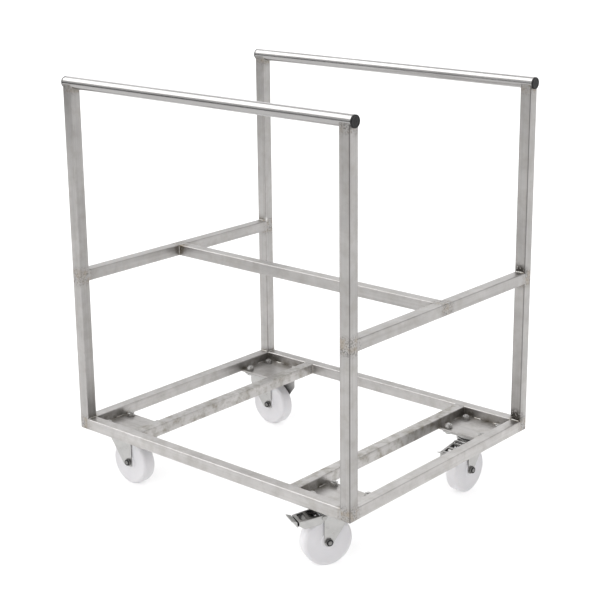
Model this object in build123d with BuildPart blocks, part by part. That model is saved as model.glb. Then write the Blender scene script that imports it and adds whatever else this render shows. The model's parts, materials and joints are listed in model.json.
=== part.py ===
from build123d import *
import math
import os

os.makedirs("parts", exist_ok=True)

# Tub trolley: a welded frame of square tube with a round handle at the front and
# one at the rear, on two fixed castors at the left and two braked swivel castors
# at the right. Millimetres, +Z up, +X along the handles, -Y towards the front.
# The origin is on the floor under the middle of the whole footprint.

# Square tube frame
tube = 30.0
wall = 1.5
corner_r = 2.5
frame_width = 928.0
frame_depth = 740.0
bay_width = 148.0
mid_rail_rise = 407.0
upright_plate = 2.5
edge_round = 2.0

# Round handles
handle_rise = 924.5
handle_dia = 30.0
handle_wall = 1.5
handle_overhang = 1.0
cope_gap = 0.05
cope_lip = 3.0
cap_flange = 4.0
cap_face_dia = 21.0
cap_plug = 16.0
cap_wall = 2.0
cap_fit = 0.05

# Castor mounting
mount_plate = 5.0
mount_plate_depth = 116.0
castor_inset = 62.0
hole_pitch_x = 105.0
hole_pitch_y = 80.0
hole_dia = 11.0
top_plate_x = 135.0
top_plate_y = 110.0
top_plate_r = 12.0
top_plate = 3.5

# Bolts, washers and nuts that hold the castors
bolt_dia = 10.0
bolt_flats = 17.0
bolt_head = 6.4
nut_height = 8.0
washer_dia = 20.0
washer = 2.0
thread_end = 2.0
thread_gap = 0.1
hex_land = 0.4
hex_bevel = 60.0

# Wheels and axles
wheel_dia = 125.0
tread_width = 37.0
tread_round = 6.0
hub_dia = 38.0
dish = 1.2
fork_gap = 39.0
hub_clearance = 0.3
axle_tube_dia = 15.0
axle_dia = 10.0
axle_fit = 0.1
running_fit = 0.06
axle_nut_height = 5.0
axle_nut_collar = 1.6
collar_step = 1.0
axle_thread_end = 1.0

# Pressed legs of the fixed brackets and the forks
leg = 2.5
leg_tip_r = 12.0
bend_r = 3.5
fixed_leg_edge = 11.0
fixed_leg_shoulder = 55.0
fixed_leg_round = 14.0

# Swivel head, from the top of the wheel up to the top plate
crown_clearance = 11.5
crown = 3.0
lower_ring = 4.0
race_gap = 3.0
upper_ring = 8.0
crown_dia = 90.0
track_dia = 73.0
track_width = 15.0
ball_dia = 7.0
ball_gap = 0.1
ball_count = 12
kingpin_dia = 14.0
kingpin_head_dia = 21.0
kingpin_flange_dia = 36.0
kingpin_flange = 3.0
kingpin_end = 2.5
kingpin_taper = 1.0
kingpin_clearance = 0.2

# Swivel forks: how far the wheel trails, and which way it points at rest
trail = 38.0
front_heading = 242.0
rear_heading = 269.0
fork_waist_ahead = 37.0
fork_waist_up = 34.0
fork_tip_angle = 208.0
fork_shoulder_slope = 0.2
crown_round = 2.0

# Brake pedals
rivet_back = 13.0
rivet_over_tread = 4.0
rivet_dia = 6.0
rivet_head_dia = 11.0
rivet_head = 2.2
rivet_rim = 1.1
rivet_gap = 0.2
boss_r = 8.0
ear_r = 7.5
pedal_sheet = 2.4
pedal_side_gap = 0.4
pedal_length = 63.0
pedal_drop = 10.0
pedal_skirt = 18.5
pedal_heel_drop = 4.0
pedal_toe = 9.0
pedal_toe_run = 14.0
pedal_start = 11.0
pedal_rim = 5.0
pedal_web = 7.0
pedal_bend_r = 2.0
pedal_corner_r = 6.0
leaf_sheet = 2.0
leaf_width = 30.0
leaf_bend_r = 2.5
leaf_foot_back = 27.0
leaf_sink = 13.0
lip_width = 42.0
lip_length = 13.5
lip_rise = 4.5
lip_gap = 3.0
shoe_gap = 2.4

# How near to a place an edge lies to be picked there, and how far up a top face looks
reach = 0.01
facing_up = 0.9

# Places that follow from the sizes
inner_corner_r = max(corner_r - wall, reach)
wheel_r = wheel_dia / 2
crown_rise = wheel_r + crown_clearance
swivel_head = crown + lower_ring + race_gap + upper_ring
base_z = wheel_r + crown_rise + swivel_head + top_plate
plate_z = base_z - top_plate
upright_x = frame_width / 2 - tube / 2
upright_y = frame_depth / 2 - tube / 2
inner_rail_x = frame_width / 2 - tube - bay_width - tube / 2
rail_span_x = frame_width - 2 * tube
rail_span_y = frame_depth - 2 * tube
base_rail_z = base_z + tube / 2
mid_rail_z = base_z + mid_rail_rise + tube / 2
handle_z = base_z + handle_rise
castor_x = frame_width / 2 - tube - bay_width / 2
castor_y = frame_depth / 2 - tube - castor_inset
fork_half = fork_gap / 2
leg_face = fork_half + leg
pedal_inner = leg_face + pedal_side_gap
pedal_outer = pedal_inner + pedal_sheet
rivet_up = wheel_r + rivet_over_tread
toe_back = rivet_back + pedal_length
toe_up = rivet_up + boss_r - pedal_drop
lip_start = toe_back + lip_gap + leaf_sheet / 2
lip_back = lip_start + lip_length

# The front pedal stands out past the frame, so the frame sits back by half of that
toe_turn = math.radians(front_heading - 180)
toe_reach = (trail + lip_back) * math.sin(toe_turn) + lip_width / 2 * math.cos(toe_turn)
frame_y = (toe_reach - tube - castor_inset) / 2

left_right = {"left": -1, "right": 1}
front_rear = {"front": -1, "rear": 1}
headings = {"front": front_heading, "rear": rear_heading}


def save(part, label):
    part.label = label
    export_step(part, f"parts/{label}.step")


# Planes

def along_x(x, y, z):
    return Plane(origin=(x, y, z), x_dir=(0, 1, 0), z_dir=(1, 0, 0))


def along_y(x, y, z):
    return Plane(origin=(x, y, z), x_dir=(1, 0, 0), z_dir=(0, 1, 0))


def side_view(x, y, z, heading):
    # seen from the side of a castor: sketch x runs along the heading, sketch y up
    turn = math.radians(heading)
    back = (math.cos(turn), math.sin(turn), 0)
    across = (math.sin(turn), -math.cos(turn), 0)
    return Plane(origin=(x, y, z), x_dir=back, z_dir=across)


def axle_section(side):
    # holds the axle: sketch x runs along the axle, sketch y across it
    return Plane(origin=side.origin, x_dir=side.z_dir, z_dir=side.x_dir)


def axle_of(side):
    return Axis(side.origin, side.z_dir)


# Frame

def square_tube(plane, length):
    with BuildPart() as rail:
        with BuildSketch(plane):
            RectangleRounded(tube, tube, corner_r)
            inner = tube - 2 * wall
            RectangleRounded(inner, inner, inner_corner_r, mode=Mode.SUBTRACT)
        extrude(amount=length)
    return rail.part


def upright(x, y):
    foot = base_z + upright_plate
    cope_r = handle_dia / 2 + cope_gap
    with BuildPart() as post:
        with BuildSketch(Plane((x, y, foot))):
            RectangleRounded(tube, tube, corner_r)
            inner = tube - 2 * wall
            RectangleRounded(inner, inner, inner_corner_r, mode=Mode.SUBTRACT)
        extrude(amount=handle_z - cope_lip - foot)
        with BuildSketch(along_x(x - tube, y, handle_z)):
            Circle(cope_r)
        extrude(amount=2 * tube, mode=Mode.SUBTRACT)
    return post.part


def upright_plates():
    with BuildPart() as plates:
        with BuildSketch(Plane((0, frame_y, base_z))):
            with GridLocations(2 * upright_x, 2 * upright_y, 2, 2):
                RectangleRounded(tube, tube, corner_r)
        extrude(amount=upright_plate)
        rims = plates.faces().group_by(Axis.Z)[0].edges()
        fillet(rims, min(edge_round, upright_plate - reach, corner_r - reach))
    return plates.part


def mounting_plate(side, end):
    centre_x = side * castor_x
    hole_y = frame_y + end * castor_y
    centre_y = frame_y + end * (frame_depth / 2 - tube - mount_plate_depth / 2)
    with BuildPart() as plate:
        with BuildSketch(Plane((centre_x, centre_y, base_z))):
            Rectangle(bay_width, mount_plate_depth)
        extrude(amount=mount_plate)
        with BuildSketch(Plane((centre_x, hole_y, base_z))):
            with GridLocations(hole_pitch_x, hole_pitch_y, 2, 2):
                Circle(hole_dia / 2)
        extrude(amount=mount_plate, mode=Mode.SUBTRACT)
    return plate.part


def handle_tube(end):
    half = frame_width / 2 + handle_overhang
    with BuildPart() as grip:
        with BuildSketch(along_x(-half, frame_y + end * upright_y, handle_z)):
            Circle(handle_dia / 2)
            Circle(handle_dia / 2 - handle_wall, mode=Mode.SUBTRACT)
        extrude(amount=2 * half)
    return grip.part


def handle_caps(end):
    # a domed flange over each end of the tube, and a hollow plug pushed into its bore
    face = frame_width / 2 + handle_overhang
    plug_r = handle_dia / 2 - handle_wall - cap_fit
    rim_r = handle_dia / 2
    face_r = cap_face_dia / 2
    with BuildPart() as caps:
        for side in (-1, 1):
            centre = (side * face, frame_y + end * upright_y, handle_z)
            with BuildSketch(Plane(origin=centre, x_dir=(side, 0, 0), z_dir=(0, -side, 0))):
                with BuildLine():
                    Polyline(
                        (cap_flange, 0),
                        (0, 0),
                        (0, plug_r - cap_wall),
                        (-cap_plug, plug_r - cap_wall),
                        (-cap_plug, plug_r),
                        (0, plug_r),
                        (0, rim_r),
                        (cap_flange / 2, rim_r),
                    )
                    TangentArc((cap_flange / 2, rim_r), (cap_flange, face_r), tangent=(1, 0))
                    Line((cap_flange, face_r), (cap_flange, 0))
                make_face()
            revolve(axis=Axis(centre, (1, 0, 0)))
    return caps.part


# Bolts, washers and nuts through the plates

def castor_centres():
    return [
        (side * castor_x, frame_y + end * castor_y)
        for side in left_right.values()
        for end in front_rear.values()
    ]


def bolt_places(z):
    half_x = hole_pitch_x / 2
    half_y = hole_pitch_y / 2
    return [
        Plane((x + i * half_x, y + j * half_y, z))
        for x, y in castor_centres()
        for i in (-1, 1)
        for j in (-1, 1)
    ]


def hexagon(height):
    # stands on its seat, with the corners of its outer face bevelled away
    face_r = bolt_flats / 2 - hex_land
    foot_r = face_r + height * math.tan(math.radians(hex_bevel))
    with BuildPart() as blank:
        with BuildSketch():
            RegularPolygon(bolt_flats / 2, 6, major_radius=False)
        extrude(amount=height)
        with Locations((0, 0, height / 2)):
            Cone(foot_r, face_r, height, mode=Mode.INTERSECT)
    return blank.part


def hexagon_bolt(length):
    # the head stands on the seat and the shank hangs below it
    head = hexagon(bolt_head)
    with BuildPart() as bolt:
        add(head)
        with BuildSketch():
            Circle(bolt_dia / 2 - thread_gap)
        extrude(amount=-length)
    return bolt.part


def plate_bolts():
    bolt = hexagon_bolt(top_plate + mount_plate + washer + nut_height + thread_end)
    with BuildPart() as bolts:
        with Locations(*bolt_places(plate_z)):
            add(bolt, rotation=(180, 0, 0))
    return bolts.part


def plate_washers():
    with BuildPart() as washers:
        with BuildSketch(*bolt_places(base_z + mount_plate)):
            Circle(washer_dia / 2)
            Circle(hole_dia / 2, mode=Mode.SUBTRACT)
        extrude(amount=washer)
    return washers.part


def plate_nuts():
    nut = hexagon(nut_height)
    with BuildPart() as nuts:
        with Locations(*bolt_places(base_z + mount_plate + washer)):
            add(nut)
            Hole(bolt_dia / 2)
    return nuts.part


# Wheels and axles

def wheel(side):
    bore_r = axle_tube_dia / 2 + running_fit
    half = tread_width / 2
    hub_half = fork_half - hub_clearance
    hub_r = hub_dia / 2
    with BuildPart() as roller:
        with BuildSketch(axle_section(side)):
            with BuildLine() as outline:
                Line((0, bore_r), (hub_half, bore_r))
                Line((hub_half, bore_r), (hub_half, hub_r - dish))
                Line((hub_half, hub_r - dish), (half - dish, hub_r + dish))
                Line((half - dish, hub_r + dish), (half, wheel_r - tread_round))
                RadiusArc((half, wheel_r - tread_round), (half - tread_round, wheel_r), -tread_round)
                Line((half - tread_round, wheel_r), (0, wheel_r))
                mirror(about=Plane.YZ)
            make_face()
        revolve(axis=axle_of(side))
    return roller.part


def axle_tube(side):
    with BuildPart() as bush:
        with BuildSketch(side):
            Circle(axle_tube_dia / 2)
            Circle(axle_dia / 2 + axle_fit, mode=Mode.SUBTRACT)
        extrude(amount=fork_half, both=True)
    return bush.part


def outside_leg(side, way):
    # on the outer face of a castor's leg at the axle, with z outwards
    face = side.offset(way * leg_face)
    return Plane(origin=face.origin, x_dir=side.x_dir, z_dir=way * side.z_dir)


def axle_bolt(side, way):
    # its head is on the far side of the castor from the nut
    bolt = hexagon_bolt(2 * leg_face + axle_nut_height + axle_nut_collar + axle_thread_end)
    with BuildPart() as axle:
        with Locations(outside_leg(side, -way)):
            add(bolt)
    return axle.part


def axle_nut(side, way):
    # a lock nut: a hexagon with a round collar that holds its locking ring
    blank = hexagon(axle_nut_height)
    with BuildPart() as nut:
        with Locations(outside_leg(side, way)):
            add(blank)
            with Locations((0, 0, axle_nut_height + axle_nut_collar / 2)):
                Cylinder(bolt_flats / 2 - collar_step, axle_nut_collar)
            Hole(axle_dia / 2)
    return nut.part


# Fixed castors

def fixed_bracket(x, y):
    # one pressing: two legs bent down from the plate, each the other turned half round
    leg_top = plate_z - wheel_r
    far_end = -top_plate_x / 2
    with BuildPart() as bracket:
        for heading in (0, 180):
            with BuildSketch(side_view(x, y, wheel_r, heading).offset(fork_half)):
                with BuildLine():
                    FilletPolyline(
                        (fixed_leg_edge, leg_top),
                        (fixed_leg_edge, -leg_tip_r),
                        (-fixed_leg_edge - leg_tip_r / 2, -leg_tip_r),
                        (far_end, fixed_leg_shoulder),
                        (far_end, leg_top),
                        radius=[bend_r, fixed_leg_round, fixed_leg_round],
                    )
                    Line((far_end, leg_top), (fixed_leg_edge, leg_top))
                make_face()
                Circle(axle_dia / 2 + axle_fit, mode=Mode.SUBTRACT)
            extrude(amount=leg)
        with BuildSketch(Plane((x, y, plate_z))):
            RectangleRounded(top_plate_x, top_plate_y, top_plate_r)
            with GridLocations(hole_pitch_x, hole_pitch_y, 2, 2):
                Circle(hole_dia / 2, mode=Mode.SUBTRACT)
        extrude(amount=top_plate)
        bends = (
            bracket.edges()
            .filter_by(Axis.X)
            .filter_by_position(Axis.Z, plate_z - reach, plate_z + reach)
            .filter_by(lambda edge: abs(abs(edge.center().Y - y) - leg_face) < reach)
        )
        fillet(bends, bend_r)
    return bracket.part


# Swivel castors

def swivel_point(heading, x, y):
    turn = math.radians(heading)
    return x + trail * math.cos(turn), y + trail * math.sin(turn)


def swivel_top_plate(x, y):
    with BuildPart() as plate:
        with BuildSketch(Plane((x, y, plate_z))):
            RectangleRounded(top_plate_x, top_plate_y, top_plate_r)
            with GridLocations(hole_pitch_x, hole_pitch_y, 2, 2):
                Circle(hole_dia / 2, mode=Mode.SUBTRACT)
        extrude(amount=top_plate)
        with BuildSketch(side_view(x, y, plate_z, 0)):
            Polygon(
                (0, 0),
                (kingpin_dia / 2, 0),
                (kingpin_head_dia / 2, top_plate),
                (0, top_plate),
                align=None,
            )
        revolve(axis=Axis((x, y, 0), (0, 0, 1)), mode=Mode.SUBTRACT)
    return plate.part


def upper_race(x, y):
    groove_z = -upper_ring - race_gap / 2
    with BuildPart() as race:
        with BuildSketch(side_view(x, y, plate_z, 0)):
            with Locations((track_dia / 2, -upper_ring / 2)):
                Rectangle(track_width, upper_ring)
            with Locations((track_dia / 2, groove_z)):
                Circle(ball_dia / 2 + ball_gap, mode=Mode.SUBTRACT)
        revolve(axis=Axis((x, y, 0), (0, 0, 1)))
    return race.part


def bearing_balls():
    ball_z = plate_z - upper_ring - race_gap / 2
    with BuildPart() as balls:
        for end in front_rear.values():
            with Locations((castor_x, frame_y + end * castor_y, ball_z)):
                with PolarLocations(track_dia / 2, ball_count):
                    Sphere(ball_dia / 2)
    return balls.part


def kingpin(x, y):
    # countersunk into the top plate, with a flange that holds the crown up from below
    pin_r = kingpin_dia / 2
    crown_z = wheel_r + crown_rise - plate_z
    flange_z = crown_z - kingpin_clearance
    with BuildPart() as pin:
        with BuildSketch(side_view(x, y, plate_z, 0)):
            Polygon(
                (0, top_plate),
                (kingpin_head_dia / 2, top_plate),
                (pin_r, 0),
                (pin_r, flange_z),
                (kingpin_flange_dia / 2, flange_z),
                (kingpin_flange_dia / 2, flange_z - kingpin_flange),
                (pin_r + kingpin_taper, flange_z - kingpin_flange),
                (pin_r - kingpin_taper, flange_z - kingpin_flange - kingpin_end),
                (0, flange_z - kingpin_flange - kingpin_end),
                align=None,
            )
        revolve(axis=Axis((x, y, 0), (0, 0, 1)))
    return pin.part


def fork(x, y, heading):
    side = side_view(*swivel_point(heading, x, y), wheel_r, heading)
    head = side_view(x, y, wheel_r, heading)
    swivel = Axis((x, y, 0), (0, 0, 1))
    chord = math.sqrt((crown_dia / 2) ** 2 - leg_face**2)
    tip = math.radians(fork_tip_angle)
    tip_point = (leg_tip_r * math.cos(tip), leg_tip_r * math.sin(tip))
    with BuildPart() as yoke:
        for face in (fork_half, -leg_face):
            with BuildSketch(side.offset(face)):
                with BuildLine():
                    Spline(
                        tip_point,
                        (-fork_waist_ahead, fork_waist_up),
                        (-trail - chord, crown_rise),
                        tangents=[(math.sin(tip), -math.cos(tip)), (-1, fork_shoulder_slope)],
                    )
                    Polyline(
                        (-trail - chord, crown_rise),
                        (leg_tip_r, crown_rise),
                        (leg_tip_r, 0),
                        (0, 0),
                        tip_point,
                    )
                make_face()
                Circle(leg_tip_r)
                with Locations((rivet_back, rivet_up)):
                    Circle(ear_r)
                    Circle(rivet_dia / 2, mode=Mode.SUBTRACT)
                Circle(axle_dia / 2 + axle_fit, mode=Mode.SUBTRACT)
            extrude(amount=leg)
        crown_plane = Plane(origin=(x, y, wheel_r + crown_rise), x_dir=side.x_dir, z_dir=(0, 0, 1))
        with BuildSketch(crown_plane):
            Circle(crown_dia / 2)
            with Locations(((trail + leg_tip_r) / 2, 0)):
                Rectangle(trail + leg_tip_r, 2 * leg_face)
        extrude(amount=crown)
        rim = yoke.faces().sort_by(Axis.Z)[-1].outer_wire().edges()
        fillet(rim, min(crown_round, crown - reach))
        with BuildSketch(head):
            with Locations((track_dia / 2, crown_rise + crown + lower_ring / 2)):
                Rectangle(track_width, lower_ring)
        revolve(axis=swivel)
        with BuildSketch(head):
            with Locations((track_dia / 2, crown_rise + crown + lower_ring + race_gap / 2)):
                Circle(ball_dia / 2 + ball_gap)
        revolve(axis=swivel, mode=Mode.SUBTRACT)
        with BuildSketch(crown_plane):
            Circle(kingpin_dia / 2 + running_fit)
        extrude(amount=crown, mode=Mode.SUBTRACT)
    return yoke.part


# Brakes

def top_line(back):
    # height of the pedal's top face at a place along it
    return rivet_up + boss_r - (back - rivet_back) * pedal_drop / pedal_length


def brake_pedal(side):
    # a stamped channel: two skirts outside the fork's legs, a top with two windows
    slope = math.atan2(pedal_drop, pedal_length)
    under = pedal_sheet / math.cos(slope)
    behind = rivet_back - 2 * boss_r
    start = rivet_back + pedal_start
    toe_wall = toe_back - pedal_sheet
    window = (toe_wall - start - 2 * pedal_rim - pedal_web) / 2
    with BuildPart() as pedal:
        with BuildSketch(side) as outline:
            Polygon(
                (rivet_back, rivet_up + boss_r),
                (toe_back, toe_up),
                (toe_back, toe_up - pedal_toe),
                (toe_back - pedal_toe_run, toe_up - pedal_skirt),
                (rivet_back + boss_r, top_line(rivet_back + boss_r) - pedal_skirt - pedal_heel_drop),
                (rivet_back - boss_r, rivet_up),
                align=None,
            )
            fillet(outline.vertices().sort_by(Axis.Y)[:3], pedal_corner_r)
            with Locations((rivet_back, rivet_up)):
                Circle(boss_r)
                Circle(rivet_dia / 2 + running_fit, mode=Mode.SUBTRACT)
        extrude(amount=pedal_outer, both=True)
        with BuildSketch(side):
            Polygon(
                (behind, top_line(behind) - under),
                (toe_wall, top_line(toe_wall) - under),
                (toe_wall, 0),
                (behind, 0),
                align=None,
            )
            Polygon(
                (behind, 0),
                (start, 0),
                (start, top_line(behind) + boss_r),
                (behind, top_line(behind) + boss_r),
                align=None,
            )
        extrude(amount=pedal_inner, both=True, mode=Mode.SUBTRACT)
        with BuildSketch(Plane(origin=side.origin, x_dir=side.x_dir, z_dir=(0, 0, 1))):
            for edge in (start + pedal_rim, toe_wall - pedal_rim - window):
                with Locations((edge + window / 2, 0)):
                    RectangleRounded(window, 2 * (pedal_inner - pedal_rim), pedal_rim / 2)
        extrude(amount=crown_rise + boss_r, mode=Mode.SUBTRACT)
        top = pedal.faces().filter_by(lambda face: face.normal_at().Z > facing_up).sort_by(Axis.Z)[-1]
        fillet(top.outer_wire().edges().sort_by(SortBy.LENGTH)[-2:], pedal_bend_r)
    return pedal.part


def brake_leaf(side):
    # a bent strap: its foot hangs over the tread, its middle lies under the pedal's web,
    # and its tail passes below the toe and turns up as the release lip
    slope = math.atan2(pedal_drop, pedal_length)
    under = (pedal_sheet + leaf_sheet / 2) / math.cos(slope)
    web = (rivet_back + pedal_start + toe_back - pedal_sheet) / 2
    web_start = web - pedal_web / 2
    web_end = web + pedal_web / 2
    foot_r = wheel_r + shoe_gap + leaf_sheet / 2
    foot_up = math.sqrt(foot_r**2 - leaf_foot_back**2)
    sunk = toe_up - leaf_sink
    with BuildPart() as leaf:
        with BuildSketch(side) as strap:
            with BuildLine():
                FilletPolyline(
                    (leaf_foot_back, foot_up),
                    (web_start, top_line(web_start) - under),
                    (web_end, top_line(web_end) - under),
                    (toe_back - pedal_toe, sunk),
                    (lip_start, sunk),
                    (lip_start, toe_up),
                    (lip_back, toe_up + lip_rise),
                    radius=leaf_bend_r,
                )
            trace(line_width=leaf_sheet)
        extrude(amount=leaf_width / 2, both=True)
        with BuildSketch(side):
            add(strap.sketch_local)
            with Locations((lip_start + lip_length, toe_up)):
                Rectangle(2 * lip_length + leaf_sheet, 2 * pedal_skirt, mode=Mode.INTERSECT)
        extrude(amount=lip_width / 2, both=True)
    return leaf.part


def brake_rivet(side):
    centre = side.from_local_coords((rivet_back, rivet_up, 0))
    half = pedal_outer + rivet_gap
    shank_r = rivet_dia / 2
    head_r = rivet_head_dia / 2
    with BuildPart() as rivet:
        with BuildSketch(Plane(origin=centre, x_dir=side.z_dir, z_dir=side.x_dir)) as outline:
            Polygon(
                (0, 0),
                (0, shank_r),
                (half, shank_r),
                (half, head_r),
                (half + rivet_rim, head_r),
                (half + rivet_head, shank_r),
                (half + rivet_head, 0),
                align=None,
            )
            mirror(about=Plane.YZ)
        revolve(axis=Axis(centre, side.z_dir))
    return rivet.part


# Make every piece

for end_name, end in front_rear.items():
    rail_y = frame_y + end * upright_y
    save(handle_tube(end), f"{end_name}_handle")
    save(handle_caps(end), f"{end_name}_handle_caps")
    save(
        square_tube(along_x(-rail_span_x / 2, rail_y, base_rail_z), rail_span_x),
        f"{end_name}_base_rail",
    )

for side_name, side in left_right.items():
    rail_start = frame_y - rail_span_y / 2
    for name, x, z in (
        (f"{side_name}_base_rail", side * upright_x, base_rail_z),
        (f"{side_name}_inner_rail", side * inner_rail_x, base_rail_z),
        (f"{side_name}_mid_rail", side * upright_x, mid_rail_z),
    ):
        save(square_tube(along_y(x, rail_start, z), rail_span_y), name)

save(square_tube(along_x(-rail_span_x / 2, frame_y, mid_rail_z), rail_span_x), "mid_crossbar")
save(upright_plates(), "upright_end_plates")
save(plate_bolts(), "plate_bolts")
save(plate_washers(), "plate_washers")
save(plate_nuts(), "plate_nuts")
save(bearing_balls(), "bearing_balls")

for end_name, end in front_rear.items():
    castor_end_y = frame_y + end * castor_y
    for side_name, side in left_right.items():
        corner = f"{end_name}_{side_name}"
        save(upright(side * upright_x, frame_y + end * upright_y), f"{corner}_upright")
        save(mounting_plate(side, end), f"{corner}_mounting_plate")

    corner = f"{end_name}_left"
    rolling = side_view(-castor_x, castor_end_y, wheel_r, 0)
    save(fixed_bracket(-castor_x, castor_end_y), f"{corner}_bracket")
    save(wheel(rolling), f"{corner}_wheel")
    save(axle_tube(rolling), f"{corner}_axle_tube")
    save(axle_bolt(rolling, 1), f"{corner}_axle_bolt")
    save(axle_nut(rolling, 1), f"{corner}_axle_nut")

    corner = f"{end_name}_right"
    heading = headings[end_name]
    rolling = side_view(*swivel_point(heading, castor_x, castor_end_y), wheel_r, heading)
    save(swivel_top_plate(castor_x, castor_end_y), f"{corner}_top_plate")
    save(upper_race(castor_x, castor_end_y), f"{corner}_ball_race")
    save(kingpin(castor_x, castor_end_y), f"{corner}_kingpin")
    save(fork(castor_x, castor_end_y, heading), f"{corner}_fork")
    save(wheel(rolling), f"{corner}_wheel")
    save(axle_tube(rolling), f"{corner}_axle_tube")
    save(axle_bolt(rolling, -1), f"{corner}_axle_bolt")
    save(axle_nut(rolling, -1), f"{corner}_axle_nut")
    save(brake_pedal(rolling), f"{corner}_brake_pedal")
    save(brake_leaf(rolling), f"{corner}_brake_leaf")
    save(brake_rivet(rolling), f"{corner}_brake_rivet")
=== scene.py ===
import json
import math

import bpy
from bpy.props import FloatProperty, FloatVectorProperty, PointerProperty
from bpy.types import Operator, Panel, PropertyGroup
from mathutils import Matrix, Vector


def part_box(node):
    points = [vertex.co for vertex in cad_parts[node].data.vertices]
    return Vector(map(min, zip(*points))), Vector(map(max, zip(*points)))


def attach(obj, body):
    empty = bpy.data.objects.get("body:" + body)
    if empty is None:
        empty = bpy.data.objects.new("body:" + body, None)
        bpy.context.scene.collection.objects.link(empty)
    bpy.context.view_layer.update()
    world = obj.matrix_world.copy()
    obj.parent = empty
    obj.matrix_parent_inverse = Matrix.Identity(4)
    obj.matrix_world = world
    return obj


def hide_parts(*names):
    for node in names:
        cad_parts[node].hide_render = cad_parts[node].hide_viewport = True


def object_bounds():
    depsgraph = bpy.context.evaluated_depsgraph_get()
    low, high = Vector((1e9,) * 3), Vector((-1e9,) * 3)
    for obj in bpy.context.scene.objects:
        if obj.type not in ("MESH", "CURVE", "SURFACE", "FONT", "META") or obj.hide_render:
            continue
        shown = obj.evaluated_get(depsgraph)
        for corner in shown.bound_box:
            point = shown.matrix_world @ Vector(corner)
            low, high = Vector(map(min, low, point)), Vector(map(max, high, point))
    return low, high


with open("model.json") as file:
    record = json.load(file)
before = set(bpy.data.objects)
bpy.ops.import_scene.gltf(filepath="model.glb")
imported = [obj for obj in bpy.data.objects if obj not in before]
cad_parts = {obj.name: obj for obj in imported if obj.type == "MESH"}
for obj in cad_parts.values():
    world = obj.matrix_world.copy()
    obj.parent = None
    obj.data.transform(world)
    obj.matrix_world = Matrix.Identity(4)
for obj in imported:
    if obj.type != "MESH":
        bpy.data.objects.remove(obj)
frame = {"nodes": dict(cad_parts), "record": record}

# Looks of a tub trolley: brushed steel tube, welds, nylon wheels, pressed castors.
# Metres, +Z up, +X along the handles, -Y towards the front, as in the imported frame.

cad_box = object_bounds()

bl_info = {
    "name": "Tub Trolley",
    "version": (1, 0, 0),
    "blender": (4, 5, 0),
    "location": "View3D > Sidebar > Tub Trolley",
    "description": "Dresses the frame, handles and castors of a tub trolley and sets its studio",
    "category": "Object",
}

ENDS = ("front", "rear")
SIDES = ("left", "right")
CORNERS = tuple(f"{end}_{side}" for end in ENDS for side in SIDES)
BRAKED = ("front_right", "rear_right")
X, Y, Z = range(3)
MM = 0.001


# Places taken from the frame

def low(node):
    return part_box(node)[0]


def high(node):
    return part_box(node)[1]


def middle(node):
    return (low(node) + high(node)) / 2


def extent(node, axis):
    return low(node)[axis], high(node)[axis]


def body_of(node):
    for body, members in frame["record"]["behaviour"]["bodies"].items():
        if node in members:
            return body
    raise RuntimeError(f"no body holds {node}")


# Settings

def length(name, description, default):
    return FloatProperty(name=name, description=description, default=default,
                         unit="LENGTH", subtype="DISTANCE", precision=5)


def colour(name, description, default):
    return FloatVectorProperty(name=name, description=description, default=default,
                               subtype="COLOR", size=3, min=0, max=1)


def share(name, description, default):
    return FloatProperty(name=name, description=description, default=default,
                         subtype="FACTOR", min=0, max=1)


def angle(name, description, default):
    return FloatProperty(name=name, description=description, default=math.radians(default),
                         unit="ROTATION", subtype="ANGLE")


class SteelSettings(PropertyGroup):
    light: colour("Light Steel", "Brighter streaks of the brushed tube", (0.466, 0.453, 0.444))
    dark: colour("Dark Steel", "Darker streaks of the brushed tube", (0.355, 0.345, 0.338))
    # the stain is a real stain in the open, and heavier in nooks, which is painted shade
    stain_and_shade: colour("Stain", "Colour of the stains between the streaks", (0.27, 0.252, 0.218))
    # the grime is darker brown mottling in nooks only, partly grime and partly painted shade
    grime_and_shade: colour("Grime", "Colour of the dull patches in the bays", (0.15, 0.132, 0.1))
    straw: colour("Heat Tint", "Straw colour that is left beside a weld", (0.34, 0.295, 0.24))
    soot: colour("Soot", "Colour of a burnt weld that wasn't cleaned", (0.05, 0.045, 0.04))
    bright: colour("Bright Weld", "Colour of a weld that was cleaned to bare metal", (0.72, 0.71, 0.69))
    brown: colour("Brown Weld", "Colour of a weld that is browned by heat", (0.16, 0.13, 0.09))
    # the shade colour is painted shade for narrow nooks, where shade falls
    shade: colour("Shade", "Colour of the dirt in narrow nooks", (0.02, 0.019, 0.018))
    # the rail lift and the plate lift are painted light: lit copies of one steel, brighter than the
    # uprights
    rail_painted_light: FloatProperty(name="Rail Lift", default=1.2,
                             description="How much brighter the base rails are than the uprights")
    plate_painted_light: FloatProperty(name="Plate Lift", default=1.2,
                              description="How much brighter the mounting plates are than the uprights")
    # the corner darkening is painted shade along the rounded corners of a tube
    corner: share("Corner Darkening", "How much darker the unbrushed corners of a tube are", 0.7)
    roughness: share("Roughness", "Roughness of the brushed tube", 0.38)
    handle_light: colour("Light Handle", "Brighter clouds of the polished handles", (0.385, 0.378, 0.373))
    handle_dark: colour("Dark Handle", "Darker clouds of the polished handles", (0.325, 0.318, 0.314))
    handle_roughness: share("Handle Roughness", "Roughness of the polished handles", 0.2)
    grain_width: length("Grain Width", "Width of one brushed streak", 0.6 * MM)
    grain_length: length("Grain Length", "Length of one brushed streak", 90 * MM)
    ground_reach: length("Ground Reach", "How far a joint is ground on each side", 16 * MM)


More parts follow.
